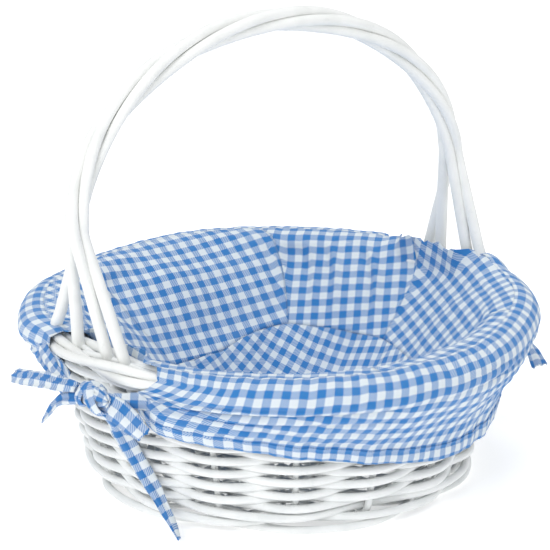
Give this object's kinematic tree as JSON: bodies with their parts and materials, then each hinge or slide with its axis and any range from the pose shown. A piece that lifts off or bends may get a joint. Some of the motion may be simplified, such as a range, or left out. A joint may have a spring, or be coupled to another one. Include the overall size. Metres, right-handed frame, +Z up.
{
  "type": "wicker picnic basket",
  "caption": "Round open wicker picnic basket with flared woven walls, a roped arch handle and a tied gingham cotton liner folded out over the rim.",
  "frame": {"origin": "on the floor under the centre of the basket", "axes": "+Z up; +X along the handle's arch, towards the right tie; -Y is the front, where the front flap hangs"},
  "size_m": [0.3736, 0.3446, 0.3178],
  "materials": {
    "willow": "white painted woven willow, matt to satin",
    "peeled_rod": "white painted willow rod, satin",
    "gingham_cotton": "blue and white gingham cotton, matt",
    "tie_cotton": "blue and white gingham cotton tie, matt"
  },
  "bodies": {
    "root": {"base_slit_sticks": "willow", "base_through_sticks": "willow", "base_weave_inner": "willow", "base_weave_outer": "willow", "side_stake_01": "willow", "side_stake_02": "willow", "side_stake_03": "willow", "side_stake_04": "willow", "side_stake_05": "willow", "side_stake_06": "willow", "side_stake_07": "willow", "side_stake_08": "willow", "side_stake_09": "willow", "side_stake_10": "willow", "side_stake_11": "willow", "side_stake_12": "willow", "side_stake_13": "willow", "side_stake_14": "willow", "side_stake_15": "willow", "side_stake_16": "willow", "foot_wale_1": "willow", "foot_wale_2": "willow", "foot_wale_3": "willow", "side_weave_01": "willow", "side_weave_02": "willow", "side_weave_03": "willow", "side_weave_04": "willow", "side_weave_05": "willow", "side_weave_06": "willow", "side_weave_07": "willow", "side_weave_08": "willow", "side_weave_09": "willow", "side_weave_10": "willow", "side_weave_11": "willow", "side_weave_12": "willow", "side_weave_13": "willow", "side_weave_14": "willow", "side_weave_15": "willow", "side_weave_16": "willow", "side_weave_17": "willow", "border_outer_pair": "peeled_rod", "border_inner_pair": "peeled_rod", "handle_rod_1": "peeled_rod", "handle_rod_2": "peeled_rod", "handle_rod_3": "peeled_rod", "handle_rod_4": "peeled_rod", "liner_wall": "gingham_cotton", "liner_floor": "gingham_cotton", "front_flap": "gingham_cotton", "back_flap": "gingham_cotton", "front_hem": "gingham_cotton", "back_hem": "gingham_cotton", "left_tie_knot": "tie_cotton", "left_tie_long_tail": "tie_cotton", "left_tie_short_tail": "tie_cotton", "left_tie_ears": "tie_cotton", "right_tie_knot": "tie_cotton", "right_tie_long_tail": "tie_cotton", "right_tie_short_tail": "tie_cotton", "right_tie_ears": "tie_cotton"}
  },
  "joints": []
}
